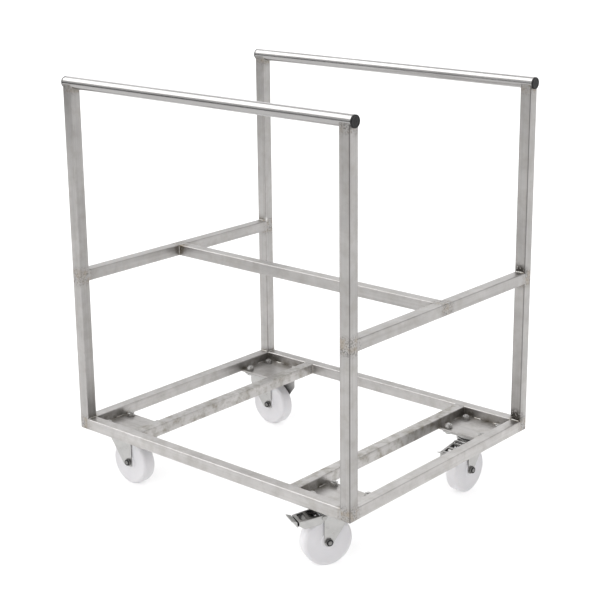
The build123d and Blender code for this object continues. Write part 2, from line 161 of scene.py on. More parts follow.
class WeldSettings(PropertyGroup):
    bead: length("Bead Radius", "Radius of a fillet bead", 2.6 * MM)
    pitch: length("Ripple Pitch", "Distance between two ripples of a bead", 1.7 * MM)
    stitch: length("Stitch Length", "Length of a bead along a mounting plate", 24 * MM)
    saddle: length("Saddle Bead Radius", "Radius of the bead round a handle saddle", 1.3 * MM)
    saddle_top: length("Saddle Top", "How far under a handle's centre its bead ends", 6.6 * MM)
    strip: length("Flush Weld Half Width", "Half the width of a weld that is ground flush", 3.2 * MM)
    proud: length("Flush Weld Rise", "How far a ground weld stands proud of the tube", 0.15 * MM)
    spill: length("Flush Weld Spill", "How far a rear ground weld may pass the CAD box", 0.02 * MM)


class WheelSettings(PropertyGroup):
    nylon: colour("Nylon", "Colour of the wheels", (0.68, 0.67, 0.685))
    tread: length("Tread Width", "Width of a wheel", 37 * MM)
    round_edge: length("Tread Edge", "Radius of the edge of the tread", 8 * MM)
    hub: length("Hub Radius", "Radius of the raised hub", 19 * MM)
    hub_width: length("Hub Width", "Width over both hubs", 38.4 * MM)
    dish: length("Dish", "Depth of the shallow ring round the hub", 1.2 * MM)
    lip: length("Lip", "Width of the lip between the tread and the dish", 1.8 * MM)
    bore_edge: length("Bore Edge", "Chamfer at the mouth of the bore", 0.5 * MM)
    bore_depth: length("Bore Depth", "How deep the bore is open", 3 * MM)
    bore: length("Bore Radius", "Radius of the bore round the axle tube", 7.56 * MM)
    fixed_heading: angle("Fixed Heading", "Way in which the fixed castors point", 0)
    front_heading: angle("Front Heading", "Way in which the front swivel castor trails", 242)
    rear_heading: angle("Rear Heading", "Way in which the rear swivel castor trails", 269)


class FittingSettings(PropertyGroup):
    plastic: colour("Plastic", "Colour of the end caps", (0.007, 0.007, 0.0075))
    zinc: colour("Zinc", "Colour of the pressed castor parts", (0.50, 0.495, 0.485))
    pitch: length("Thread Pitch", "Distance between two turns of a thread", 1.25 * MM)
    thread: length("Thread Radius", "Outer radius of the threads", 5 * MM)
    lock_ring: length("Lock Ring Radius", "Outer radius of the ring on an axle nut", 8.2 * MM)
    lock_depth: length("Lock Ring Depth", "How deep the ring on an axle nut is", 2.4 * MM)
    nut_height: length("Axle Nut Height", "Height of an axle nut with its collar", 6.6 * MM)
    cap_round: length("Cap Edge", "Radius of the outer edge of an end cap", 1.6 * MM)
    cap_rim: length("Cap Rim", "Width of the flat rim of an end cap", 2.6 * MM)
    cap_groove: length("Cap Groove", "Depth of the groove inside the rim of an end cap", 0.4 * MM)
    cap_dome: length("Cap Dome", "Rise of the face of an end cap", 0.25 * MM)
    cap_gate: length("Cap Gate", "Depth of the moulding mark in an end cap", 0.3 * MM)
    plug_step: length("Plug Step", "How much smaller the plug is than the cap", 1.6 * MM)
    plug_length: length("Plug Length", "Length of the plug of an end cap", 14 * MM)
    plug_wall: length("Plug Wall", "Thickness of the wall of a plug", 2 * MM)
    plate_pitch_x: length("Bolt Pitch X", "Distance between two plate bolts along the handles", 105 * MM)
    plate_pitch_y: length("Bolt Pitch Y", "Distance between two plate bolts across the handles", 80 * MM)
    nut_flats: length("Plate Nut Flats", "Width of a plate nut over its flats", 17 * MM)


class StageSettings(PropertyGroup):
    floor: colour("Floor", "Colour of the floor", (0.92, 0.92, 0.92))
    camera: FloatVectorProperty(name="Camera", description="Where the camera stands",
                                default=(2.34631, -2.66084, 1.59750), subtype="TRANSLATION", size=3)
    yaw: angle("Yaw", "Turn of the camera about the vertical", 39.769)
    pitch: angle("Pitch", "Tilt of the camera from the horizontal", -15.476)
    roll: angle("Roll", "Turn of the camera about its own axis", -0.212)
    lens: FloatProperty(name="Lens", description="Focal length", default=85.741,
                        unit="CAMERA", subtype="DISTANCE_CAMERA")
    shift_x: FloatProperty(name="Shift X", description="Sideways shift of the picture", default=-0.06)
    shift_y: FloatProperty(name="Shift Y", description="Upward shift of the picture", default=-0.06)
    band_tone: share("Band Tone", "How light the dark band is", 0.13)
    band: length("Band Radius", "Distance of the dark band from the trolley", 3.3)
    band_foot: length("Band Foot", "How far the dark band hangs over the floor", 0.55)
    band_height: length("Band Height", "Height of the dark band round the trolley", 0.75)
    sky: share("Sky", "Strength of the light from all round", 0.92)


# Modelling helpers

def only(*pieces):
    if bpy.context.mode != "OBJECT":
        bpy.ops.object.mode_set(mode="OBJECT")
    bpy.ops.object.select_all(action="DESELECT")
    for piece in pieces:
        piece.select_set(True)
    bpy.context.view_layer.objects.active = pieces[0]


def start(primitive, **settings):
    # adds a primitive with nothing else selected
    bpy.ops.object.select_all(action="DESELECT")
    primitive(**settings)
    bpy.ops.object.transform_apply(location=True, rotation=True, scale=True)
    return bpy.context.object


def pick(piece, kind, test):
    # selects the vertices, edges or faces that pass the test, and stays in edit mode
    only(piece)
    bpy.ops.object.mode_set(mode="EDIT")
    bpy.ops.mesh.select_mode(type=kind)
    bpy.ops.mesh.select_all(action="DESELECT")
    bpy.ops.object.mode_set(mode="OBJECT")
    mesh = piece.data
    if kind == "VERT":
        for vertex in mesh.vertices:
            vertex.select = test(vertex.co)
    elif kind == "EDGE":
        for edge in mesh.edges:
            a, b = (mesh.vertices[i].co for i in edge.vertices)
            edge.select = test(a, b)
    else:
        for face in mesh.polygons:
            face.select = test(face.center, face.normal)
    bpy.ops.object.mode_set(mode="EDIT")


def close_up(piece, smooth):
    # leaves edit mode with doubles merged, faces turned outwards and soft curves
    only(piece)
    bpy.ops.object.mode_set(mode="EDIT")
    bpy.ops.mesh.select_all(action="SELECT")
    bpy.ops.mesh.remove_doubles(threshold=0.005 * MM)
    bpy.ops.mesh.normals_make_consistent(inside=False)
    bpy.ops.object.mode_set(mode="OBJECT")
    bpy.ops.object.shade_smooth_by_angle(angle=math.radians(smooth))


def modify(piece, kind, **settings):
    only(piece)
    bpy.ops.object.modifier_add(type=kind)
    modifier = piece.modifiers[-1]
    for key, value in settings.items():
        setattr(modifier, key, value)
    bpy.ops.object.modifier_apply(modifier=modifier.name)


def copy_to(model, name, matrix):
    only(model)
    bpy.ops.object.duplicate(linked=False)
    piece = bpy.context.object
    piece.name = piece.data.name = name
    piece.matrix_world = matrix
    bpy.ops.object.transform_apply(location=True, rotation=True, scale=True)
    return piece


def join(pieces, name):
    only(*pieces)
    bpy.ops.object.join()
    piece = bpy.context.object
    piece.name = piece.data.name = name
    return piece


def discard(model):
    bpy.data.objects.remove(model)


def dress(piece, material, body, slot, *nodes):
    piece.data.materials.clear()
    piece.data.materials.append(material)
    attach(piece, body)
    if nodes:
        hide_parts(*nodes)


def lay(weld, places, name, material):
    # copies a weld to its places on the frame, as one piece
    copies = [copy_to(weld, name, place) for place in places]
    dress(join(copies, name), material, "frame", "frame_tube")


def coat(material, *nodes):
    # gives CAD nodes a finish
    for name in nodes:
        piece = frame["nodes"][name]
        if not piece.material_slots:
            piece.data.materials.append(material)
        for slot in piece.material_slots:
            slot.material = material


def stand(point, along, out):
    # from a piece's own frame, z along and x out, to a place on the trolley
    along, out = Vector(along).normalized(), Vector(out).normalized()
    cross = along.cross(out)
    turn = Matrix((out, cross, along)).transposed()
    return Matrix.Translation(Vector(point)) @ turn.to_4x4()


def castor_frame(corner):
    # from a castor's own frame, x back from the axle, y up, z along the axle
    wheels = bpy.context.scene.trolley_wheels
    headings = {"front_right": wheels.front_heading, "rear_right": wheels.rear_heading}
    heading = headings.get(corner, wheels.fixed_heading)
    back = Vector((math.cos(heading), math.sin(heading), 0))
    up = Vector((0, 0, 1))
    turn = Matrix((back, up, back.cross(up))).transposed()
    return Matrix.Translation(middle(f"{corner}_wheel")) @ turn.to_4x4()


# Material helpers

def new_material(name, **values):
    material = bpy.data.materials.new(name)
    material.use_nodes = True
    shader = material.node_tree.nodes["Principled BSDF"]
    for key, value in values.items():
        socket = shader.inputs[key.replace("_", " ")]
        socket.default_value = (*value, 1) if socket.type == "RGBA" else value
    return material, material.node_tree, shader


def node(tree, kind, inputs=None, **settings):
    made = tree.nodes.new("ShaderNode" + kind)
    for key, value in settings.items():
        setattr(made, key, value)
    for key, value in (inputs or {}).items():
        if isinstance(value, bpy.types.NodeSocket):
            tree.links.new(value, made.inputs[key])
        else:
            made.inputs[key].default_value = value
    return made


def object_place(tree):
    return node(tree, "TexCoord").outputs["Object"]


def noise(tree, scale, detail=4.0, rough=0.55):
    # the scale is one number, or one for each axis
    scales = scale if hasattr(scale, "__len__") else (scale,) * 3
    place = node(tree, "Mapping", {"Vector": object_place(tree), "Scale": scales}).outputs["Vector"]
    return node(tree, "TexNoise", {"Vector": place, "Scale": 1.0, "Detail": detail,
                                   "Roughness": rough}).outputs["Fac"]


def streaks(tree, run, width, span, detail=3.0):
    # noise drawn out along one axis
    scale = [1 / width] * 3
    scale[run] = 1 / span
    return noise(tree, scale, detail)


def spread(tree, value, low_in, high_in, low_out=0, high_out=1):
    return node(tree, "MapRange", {"Value": value, "From Min": low_in, "From Max": high_in,
                                   "To Min": low_out, "To Max": high_out}).outputs["Result"]


def blend(tree, share_of, first, second):
    # from the first colour to the second as the share goes from nothing to one
    tones = [tone if isinstance(tone, bpy.types.NodeSocket) else (*tone, 1) for tone in (first, second)]
    return node(tree, "Mix", {0: share_of, 6: tones[0], 7: tones[1]}, data_type="RGBA").outputs[2]


def math_node(tree, operation, first, second):
    return node(tree, "Math", {0: first, 1: second}, operation=operation).outputs["Value"]


def times(tree, first, second):
    return math_node(tree, "MULTIPLY", first, second)


def painted_shade_mask(tree, reach, open_from=0.85):
    # painted shade mask from ambient occlusion: one in nooks that are narrower than the reach, where
    # shade falls, nothing in the open
    open_share = node(tree, "AmbientOcclusion", {"Distance": reach}, samples=8).outputs["AO"]
    return spread(tree, open_share, open_from - 0.6, open_from, 1, 0)


def paint_shade(tree, tone, where, depth):
    # painted shade: towards the shade colour by the given depth, where the mask is one
    shade = bpy.context.scene.trolley_steel.shade
    return blend(tree, times(tree, where, depth), tone, shade)


def scaled(tone, factor):
    return tuple(factor * part for part in tone)


def finish(tree, shader, tone, roughness, height, distance, strength=0.5):
    # wires the colour, the roughness and the relief of a material to its shader
    tree.links.new(tone, shader.inputs["Base Color"])
    tree.links.new(roughness, shader.inputs["Roughness"])
    bump = node(tree, "Bump", {"Height": height, "Distance": distance, "Strength": strength})
    tree.links.new(bump.outputs["Normal"], shader.inputs["Normal"])


def near_joints(tree, run, joints, reach):
    # one inside each joint along the tube, falling to nothing at the reach beyond it
    along = node(tree, "SeparateXYZ", {"Vector": object_place(tree)}).outputs[run]
    first, last = joints[0][0] - 2 * reach, joints[-1][1] + 2 * reach
    ramp = node(tree, "ValToRGB", {"Fac": spread(tree, along, first, last)})
    stops = [(first, 0)]
    for start_of, end_of in joints:
        stops += [(start_of - reach, 0), (start_of, 1), (end_of, 1), (end_of + reach, 0)]
    bar = ramp.color_ramp
    for place_of, value in stops:
        stop = bar.elements.new(min(max((place_of - first) / (last - first), 0), 1))
        stop.color = (value, value, value, 1)
    bar.elements.remove(bar.elements[0])
    bar.elements[-1].color = (0, 0, 0, 1)
    return ramp.outputs["Color"]


def scorch(tree, tone, spots):
    # patchy marks at some of the welds: a place, a reach and a colour each
    for point, reach, mark in spots:
        away = node(tree, "VectorMath", {0: object_place(tree), 1: point}, operation="DISTANCE")
        near = spread(tree, away.outputs["Value"], 0.4 * reach, reach, 1, 0)
        patchy = times(tree, near, spread(tree, noise(tree, 170), 0.38, 0.48, 0, 0.92))
        tone = blend(tree, patchy, tone, mark)
    return tone


# Finishes

def corner_shade_mask(tree, run, centres):
    # painted shade mask: one along the rounded corners of the tubes, whose centre lines are given
    shift, *spans = centres
    centred = node(tree, "VectorMath", {0: object_place(tree), 1: shift}, operation="SUBTRACT")
    parts = node(tree, "SeparateXYZ", {"Vector": centred.outputs["Vector"]})
    sides = []
    for axis, span in zip([axis for axis in (X, Y, Z) if axis != run], spans):
        away = math_node(tree, "ABSOLUTE", parts.outputs[axis], 0)
        sides.append(math_node(tree, "ABSOLUTE", math_node(tree, "SUBTRACT", away, span), 0))
    nearer = math_node(tree, "MINIMUM", *sides)
    return spread(tree, nearer, 12.2 * MM, 13.8 * MM)


def brushed_tube(name, run, joints, centres=None, painted_light_gain=1.0, stained=0.3, spots=()):
    # brushed along the tube, ground crosswise and tinted at the welded joints, stained and dulled in
    # patches, with painted light that lifts some tubes brighter, painted shade along the rounded corners
    # and in nooks, where stains and grime grow heavier, and marks at some places
    steel = bpy.context.scene.trolley_steel
    material, tree, shader = new_material(name, Metallic=1.0)
    fine = streaks(tree, run, steel.grain_width, steel.grain_length)
    broad = streaks(tree, run, 5 * MM, 400 * MM, 2.0)
    cloud = noise(tree, 14, 3.0)
    tone = math_node(tree, "ADD", spread(tree, broad, 0.3, 0.7, 0, 0.45),
                     spread(tree, cloud, 0.3, 0.7, 0, 0.55))
    # painted light: the lift makes lit, brighter copies of the same steel
    light, dark = scaled(steel.light, painted_light_gain), scaled(steel.dark, painted_light_gain)
    base = blend(tree, tone, dark, light)
    ground = near_joints(tree, run, joints, steel.ground_reach)
    swirl = noise(tree, 230, 5.0, 0.7)
    patch = times(tree, ground, spread(tree, swirl, 0.47, 0.60))
    worked = blend(tree, patch, base, scaled(dark, 0.55))
    heat = near_joints(tree, run, joints, steel.ground_reach * 0.5)
    tint = times(tree, heat, spread(tree, noise(tree, 60), 0.4, 0.65, 0.0, 0.7))
    tinted = blend(tree, tint, worked, steel.straw)
    # painted shade in nooks: heavier stains and grime, and a darker tone, where shade falls
    shade_nook = painted_shade_mask(tree, 36 * MM)
    stain_and_shade = times(tree, spread(tree, noise(tree, 35, 5.0, 0.65), 0.45, 0.66),
                  spread(tree, shade_nook, 0, 0.7, stained, 0.9))
    tinted = blend(tree, stain_and_shade, tinted, steel.stain_and_shade)
    grime_and_shade = times(tree, shade_nook, spread(tree, noise(tree, 55), 0.45, 0.60))
    tinted = blend(tree, grime_and_shade, tinted, steel.grime_and_shade)
    if centres:
        # painted shade along the rounded corners
        corner = times(tree, corner_shade_mask(tree, run, centres), steel.corner)
        tinted = blend(tree, corner, tinted, scaled(steel.dark, 0.3))
    tinted = paint_shade(tree, scorch(tree, tinted, spots), shade_nook, 0.22)
    rough = spread(tree, fine, 0.3, 0.7, steel.roughness - 0.07, steel.roughness + 0.07)
    worked_rough = math_node(tree, "ADD", rough, times(tree, patch, 0.12))
    marks = math_node(tree, "ADD", fine, times(tree, patch, 2.0))
    finish(tree, shader, tinted, worked_rough, marks, 0.06 * MM, 0.6)
    return material


def polished_handle():
    steel = bpy.context.scene.trolley_steel
    material, tree, shader = new_material("polished_handle", Metallic=1.0)
    fine = streaks(tree, X, 0.5 * MM, 120 * MM)
    cloud = noise(tree, (6, 30, 30), 3.0)
    base = blend(tree, spread(tree, cloud, 0.3, 0.7), steel.handle_dark, steel.handle_light)
    rough = spread(tree, math_node(tree, "ADD", fine, cloud), 0.7, 1.3,
                   steel.handle_roughness - 0.04, steel.handle_roughness + 0.07)
    finish(tree, shader, base, rough, fine, 0.03 * MM)
    return material


def pressed_zinc(name="pressed_zinc", reach=20 * MM, depth=0.55, open_from=0.8):
    zinc = bpy.context.scene.trolley_fittings.zinc
    material, tree, shader = new_material(name, Metallic=1.0)
    cloud = noise(tree, 45, 4.0)
    orange_peel = noise(tree, 900, 2.0)
    base = blend(tree, spread(tree, cloud, 0.3, 0.7), scaled(zinc, 0.82), zinc)
    # painted shade in nooks, where shade falls
    tone = paint_shade(tree, base, painted_shade_mask(tree, reach, open_from), depth)
    finish(tree, shader, tone, spread(tree, cloud, 0.3, 0.7, 0.26, 0.40), orange_peel, 0.03 * MM)
    return material


def fastener_steel(name="fastener_steel", brightness=0.5):
    material, tree, shader = new_material(name, Metallic=1.0)
    cloud = noise(tree, 160, 4.0)
    light = scaled((1, 0.985, 0.955), brightness)
    base = blend(tree, spread(tree, cloud, 0.3, 0.7), scaled(light, 0.65), light)
    rough = spread(tree, cloud, 0.3, 0.7, 0.24, 0.42)
    # painted shade in nooks, where shade falls
    tone = paint_shade(tree, base, painted_shade_mask(tree, 12 * MM), 0.7)
    finish(tree, shader, tone, rough, noise(tree, 1500, 2.0), 0.03 * MM, 0.4)
    return material


def weld_metal():
    material, tree, shader = new_material("weld_metal", Metallic=1.0)
    patches = noise(tree, 130, 3.0)
    silver = blend(tree, spread(tree, noise(tree, 700, 3.0), 0.3, 0.7),
                   (0.40, 0.39, 0.37), (0.56, 0.55, 0.525))
    brown = blend(tree, spread(tree, patches, 0.5, 0.68, 0, 0.75), silver, (0.33, 0.26, 0.19))
    blue = blend(tree, spread(tree, noise(tree, 90, 2.0), 0.62, 0.75, 0, 0.5), brown, (0.24, 0.26, 0.34))
    # painted shade in nooks, where shade falls
    tone = paint_shade(tree, blue, painted_shade_mask(tree, 30 * MM), 0.7)
    rough = spread(tree, patches, 0.3, 0.7, 0.30, 0.52)
    finish(tree, shader, tone, rough, noise(tree, 1200, 3.0), 0.1 * MM, 0.6)
    return material


def ground_weld():
    steel = bpy.context.scene.trolley_steel
    material, tree, shader = new_material("ground_weld", Metallic=1.0)
    swirl = noise(tree, 260, 6.0, 0.75)
    base = blend(tree, spread(tree, swirl, 0.35, 0.65), steel.dark, steel.light)
    straw = blend(tree, spread(tree, noise(tree, 90, 2.0), 0.52, 0.7, 0, 0.5), base, steel.straw)
    finish(tree, shader, straw, spread(tree, swirl, 0.3, 0.7, 0.34, 0.56), swirl, 0.2 * MM, 0.7)
    return material


def wheel_nylon():
    nylon = bpy.context.scene.trolley_wheels.nylon
    material, tree, shader = new_material("wheel_nylon", Subsurface_Weight=0.35,
                                          Subsurface_Scale=6 * MM, IOR=1.5)
    shader.inputs["Subsurface Radius"].default_value = (1.0, 0.9, 0.85)
    cloud = noise(tree, 25, 4.0)
    scuff = noise(tree, 190, 6.0, 0.7)
    base = blend(tree, spread(tree, cloud, 0.3, 0.7), scaled(nylon, 0.95), nylon)
    scuffed = blend(tree, spread(tree, scuff, 0.62, 0.8, 0, 0.25), base, (0.55, 0.54, 0.53))
    rough = spread(tree, scuff, 0.3, 0.7, 0.36, 0.52)
    finish(tree, shader, scuffed, rough, noise(tree, 1100, 3.0), 0.05 * MM)
    return material


def moulded_plastic():
    plastic = bpy.context.scene.trolley_fittings.plastic
    material, tree, shader = new_material("moulded_plastic", IOR=1.35)
    cloud = noise(tree, 220, 4.0)
    base = blend(tree, spread(tree, cloud, 0.35, 0.7), plastic, scaled(plastic, 2.2))
    rough = spread(tree, cloud, 0.3, 0.7, 0.36, 0.52)
    finish(tree, shader, base, rough, noise(tree, 2200, 2.0), 0.06 * MM, 0.6)
    return material


def finish_of(name, maker):
    # each finish is made once and found again by its name
    return bpy.data.materials.get(name) or maker()


# Operators

class TROLLEY_OT_frame_finish(Operator):
    """Gives every tube of the welded frame its brushed and ground finish"""
    bl_idname = "trolley.frame_finish"
    bl_label = "Frame Finish"

    def execute(self, context):
        steel = context.scene.trolley_steel
        base, mid = extent("front_base_rail", Z), extent("left_mid_rail", Z)
        front, rear = extent("left_base_rail", Y)
        bar = extent("mid_crossbar", Y)
        rail_end = high("front_base_rail").x
        top = high("front_left_upright").z
        post = middle("right_base_rail").x
        half_tube = (base[1] - base[0]) / 2
        centre_y = sum(bar) / 2
        depth = middle("rear_base_rail").y - centre_y
        ends_x = [(-rail_end, -rail_end + MM), (rail_end - MM, rail_end)]
        ends_y = [(front - MM, front), (rear, rear + MM)]
        post_joints = [base, mid, (top - steel.ground_reach, top)]
        # the marks that stand out in the photograph, each with its place, reach and colour
        rear_right = [((post, rear, base[1] + 10 * MM), 28 * MM, steel.soot),
                      ((post, rear, mid[1] + 4 * MM), 24 * MM, steel.soot),
                      ((post - half_tube, rear, base[1] + 4 * MM), 20 * MM, steel.soot)]
        rear_left = [((half_tube - post, rear, mid[1] + 4 * MM), 10 * MM, steel.bright)]
        bar_end = [((-rail_end, bar[0], mid[1]), 34 * MM, steel.brown)]
        # painted light on the base rails
        painted_light_rails = {"painted_light_gain": steel.rail_painted_light}
        for name, run, joints, extra, tubes in (
            ("cross_rail", X, ends_x, painted_light_rails, ("front_base_rail", "rear_base_rail")),
            ("crossbar", X, ends_x, {"spots": bar_end}, ("mid_crossbar",)),
            ("side_rail", Y, ends_y, painted_light_rails, ("left_base_rail", "right_base_rail")),
            ("inner_rail", Y, ends_y, {**painted_light_rails, "stained": 0.9},
             ("left_inner_rail", "right_inner_rail")),
            ("mid_rail", Y, [ends_y[0], bar, ends_y[1]], {}, ("left_mid_rail", "right_mid_rail")),
            ("left_upright", Z, post_joints, {"spots": rear_left},
             ("front_left_upright", "rear_left_upright")),
            ("right_upright", Z, post_joints,
             {"spots": rear_right, "centres": ((0, centre_y, 0), post, depth)},
             ("front_right_upright", "rear_right_upright")),
        ):
            coat(brushed_tube(f"brushed_{name}", run, joints, **extra), *tubes)
        coat(brushed_tube("ground_end_plate", X, [(-post, -post), (post, post)]), "upright_end_plates")
        return {"FINISHED"}


class TROLLEY_OT_castor_finish(Operator):
    """Gives the handles, the mounting plates, the castors and their fasteners a finish"""
    bl_idname = "trolley.castor_finish"
    bl_label = "Handle and Castor Finish"

    def execute(self, context):
        steel = context.scene.trolley_steel
        coat(polished_handle(), "front_handle", "rear_handle")
        zinc = pressed_zinc()
        # painted shade, heavy and wide, so the pedal's windows and inside read dark
        pedal = pressed_zinc("pressed_pedal", 35 * MM, 0.97, 0.97)
        fastener = fastener_steel()
        bay = extent("front_right_mounting_plate", X)
        plate_edges = [(x, x) for x in (-bay[1], -bay[0], *bay)]
        # painted light on the mounting plates
        plate = brushed_tube("brushed_plate", X, plate_edges, painted_light_gain=steel.plate_painted_light, stained=0.4)
        # painted shade: a darker copy of the fastener steel, standing in for the dark that the axle nuts
        # and bolts reflect
        shaded_axle_steel = fastener_steel("axle_steel", 0.27)
        for corner in CORNERS:
            coat(plate, f"{corner}_mounting_plate")
            coat(shaded_axle_steel, f"{corner}_axle_bolt", f"{corner}_axle_nut", f"{corner}_axle_tube")
        for end in ENDS:
            coat(zinc, f"{end}_left_bracket")
        for corner in BRAKED:
            coat(zinc, f"{corner}_top_plate", f"{corner}_ball_race", f"{corner}_fork")
            coat(pedal, f"{corner}_brake_pedal", f"{corner}_brake_leaf")
            coat(fastener, f"{corner}_kingpin", f"{corner}_brake_rivet")
        coat(fastener, "plate_bolts", "plate_nuts", "plate_washers", "bearing_balls")
        return {"FINISHED"}


def fillet_bead(span):
    # a short rod with ripples and tapered ends, which sits in an inside corner
    welds = bpy.context.scene.trolley_welds
    bead = start(bpy.ops.mesh.primitive_cylinder_add, vertices=10, radius=welds.bead, depth=span)
    rings = 2 * round(span / welds.pitch / 2) + 1
    step = span / (rings + 1)
    pick(bead, "EDGE", lambda a, b: abs(a.z - b.z) > span / 2)
    bpy.ops.mesh.subdivide(number_cuts=rings)
    pick(bead, "VERT", lambda at: round((at.z + span / 2) / step) % 2 == 1)
    bpy.ops.transform.resize(value=(0.84, 0.84, 1))
    pick(bead, "VERT", lambda at: at.x > 0.5 * welds.bead and abs(at.z) < span / 2 - step / 2)
    bpy.ops.transform.translate(value=(0, 0, 0.35 * step))
    pick(bead, "VERT", lambda at: abs(at.z) > span / 2 - step / 4)
    bpy.ops.transform.resize(value=(0.5, 0.5, 1))
    modify(bead, "SUBSURF", levels=1, render_levels=1)
    close_up(bead, 60)
    return bead


class TROLLEY_OT_weld_beads(Operator):
    """Lays a rippled bead in the inside corners of the welded frame"""
    bl_idname = "trolley.weld_beads"
    bl_label = "Weld Beads"

    def execute(self, context):
        welds = context.scene.trolley_welds
        metal = finish_of("weld_metal", weld_metal)
        rows = {"base": [], "bay": [], "mid": []}
        rail_low, rail_top = extent("left_base_rail", Z)
        mid_low, mid_top = extent("left_mid_rail", Z)
        front_y, rear_y = extent("left_base_rail", Y)
        inner_low, inner_high = extent("right_inner_rail", X)
        plate_top = high("front_left_mounting_plate").z
        rail_end = high("front_base_rail").x
        middle_y = (front_y + rear_y) / 2
        tube = rail_top - rail_low
        up = Vector((0, 0, 1))
        for way_x in (-1, 1):
            x_in = Vector((-way_x, 0, 0))
            post_x = way_x * (rail_end + tube / 2)
            for way_y, y_face in ((-1, front_y), (1, rear_y)):
                y_in = Vector((0, -way_y, 0))
                post_y = y_face + way_y * tube / 2
                rows["base"].append(stand((way_x * rail_end, post_y, rail_top), y_in, x_in + up))
                rows["base"].append(stand((post_x, y_face, rail_top), x_in, y_in + up))
                for height, tilt in ((mid_top, up), (mid_low, -up)):
                    rows["mid"].append(stand((post_x, y_face, height), x_in, y_in + tilt))
                for corner_x, out, foot in ((rail_end, -1, plate_top), (inner_high, 1, plate_top),
                                            (inner_low, -1, rail_low)):
                    at = (way_x * corner_x, y_face, (foot + rail_top) / 2)
                    rows["bay"].append(stand(at, up, Vector((way_x * out, 0, 0)) + y_in))
            for way_y in (-1, 1):
                at = (way_x * rail_end, middle_y + way_y * tube / 2, (mid_low + mid_top) / 2)
                rows["mid"].append(stand(at, up, x_in + Vector((0, way_y, 0))))
        bead = fillet_bead(tube - 2 * welds.bead)
        for row, places in rows.items():
            lay(bead, places, f"{row}_weld_beads", metal)
        discard(bead)
        return {"FINISHED"}


def flush_weld(span):
    # a ground strip that lies flush over a butted seam, with feathered edges
    welds = bpy.context.scene.trolley_welds
    strip = start(bpy.ops.mesh.primitive_cylinder_add, vertices=24, radius=welds.strip, depth=span)
    cuts = 2 * round(span / welds.pitch / 4) + 1
    pick(strip, "EDGE", lambda a, b: abs(a.z - b.z) > span / 2)
    bpy.ops.mesh.subdivide(number_cuts=cuts)
    step = span / (cuts + 1)
    pick(strip, "VERT", lambda at: round((at.z + span / 2) / step) % 3 == 1)
    bpy.ops.transform.resize(value=(1, 0.88, 1))
    bpy.ops.mesh.select_all(action="SELECT")
    bpy.ops.transform.resize(value=(welds.proud / welds.strip, 1, 1))
    modify(strip, "SUBSURF", levels=1, render_levels=1)
    close_up(strip, 60)
    return strip


class TROLLEY_OT_flush_welds(Operator):
    """Fills the butted seams whose tubes lie in one plane with welds that are ground flush"""
    bl_idname = "trolley.flush_welds"
    bl_label = "Flush Welds"

    def execute(self, context):
        welds = context.scene.trolley_welds
        metal = finish_of("ground_weld", ground_weld)
        rail_low, rail_top = extent("left_base_rail", Z)
        mid_low, mid_top = extent("left_mid_rail", Z)
        front_y, rear_y = extent("left_base_rail", Y)
        rail_end = high("front_base_rail").x
        tube = rail_top - rail_low
        base_z, mid_z = (rail_low + rail_top) / 2, (mid_low + mid_top) / 2
        inner_x, bar_y = middle("right_inner_rail").x, middle("mid_crossbar").y
        up = Vector((0, 0, 1))
        rows = {"base": [], "mid": []}
        for way_x in (-1, 1):
            out_x = Vector((way_x, 0, 0))
            for way_y, y_face in ((-1, front_y), (1, rear_y)):
                out_y = Vector((0, way_y, 0))
                # the rear ones are let in, so that no more than the spill is past the CAD box
                outer_y = min(y_face + way_y * tube, cad_box[1][1] - welds.proud + welds.spill)
                rows["base"].append(stand((way_x * rail_end, outer_y, base_z), up, out_y))
                rows["base"].append(stand((way_x * (rail_end + tube), y_face, base_z), up, out_x))
                for side, facing in ((rail_end, -out_x), (rail_end + tube, out_x)):
                    rows["mid"].append(stand((way_x * side, y_face, mid_z), up, facing))
                for height, facing in ((rail_top, up), (rail_low, -up)):
                    rows["base"].append(stand((way_x * inner_x, y_face, height), out_x, facing))
            for height, facing in ((mid_top, up), (mid_low, -up)):
                rows["mid"].append(stand((way_x * rail_end, bar_y, height), (0, 1, 0), facing))
        strip = flush_weld(tube - 2 * MM)
        for row, places in rows.items():
            lay(strip, places, f"{row}_flush_welds", metal)
        discard(strip)
        return {"FINISHED"}


class TROLLEY_OT_plate_stitches(Operator):
    """Lays short stitches where each mounting plate meets the rails of its bay"""
    bl_idname = "trolley.plate_stitches"
    bl_label = "Plate Stitches"

    def execute(self, context):
        places = []
        for corner in CORNERS:
            first, last = low(f"{corner}_mounting_plate"), high(f"{corner}_mounting_plate")
            edge_y, in_y = (first.y, 1) if corner.startswith("front") else (last.y, -1)
            for part in (0.3, 0.72):
                at = first.lerp(last, part)
                places.append(stand((at.x, edge_y, last.z), (1, 0, 0), (0, in_y, 1)))
                for edge_x, in_x in ((first.x, 1), (last.x, -1)):
                    places.append(stand((edge_x, at.y, last.z), (0, 1, 0), (in_x, 0, 1)))
        bead = fillet_bead(context.scene.trolley_welds.stitch)
        lay(bead, places, "plate_weld_stitches", finish_of("weld_metal", weld_metal))
        discard(bead)
        return {"FINISHED"}


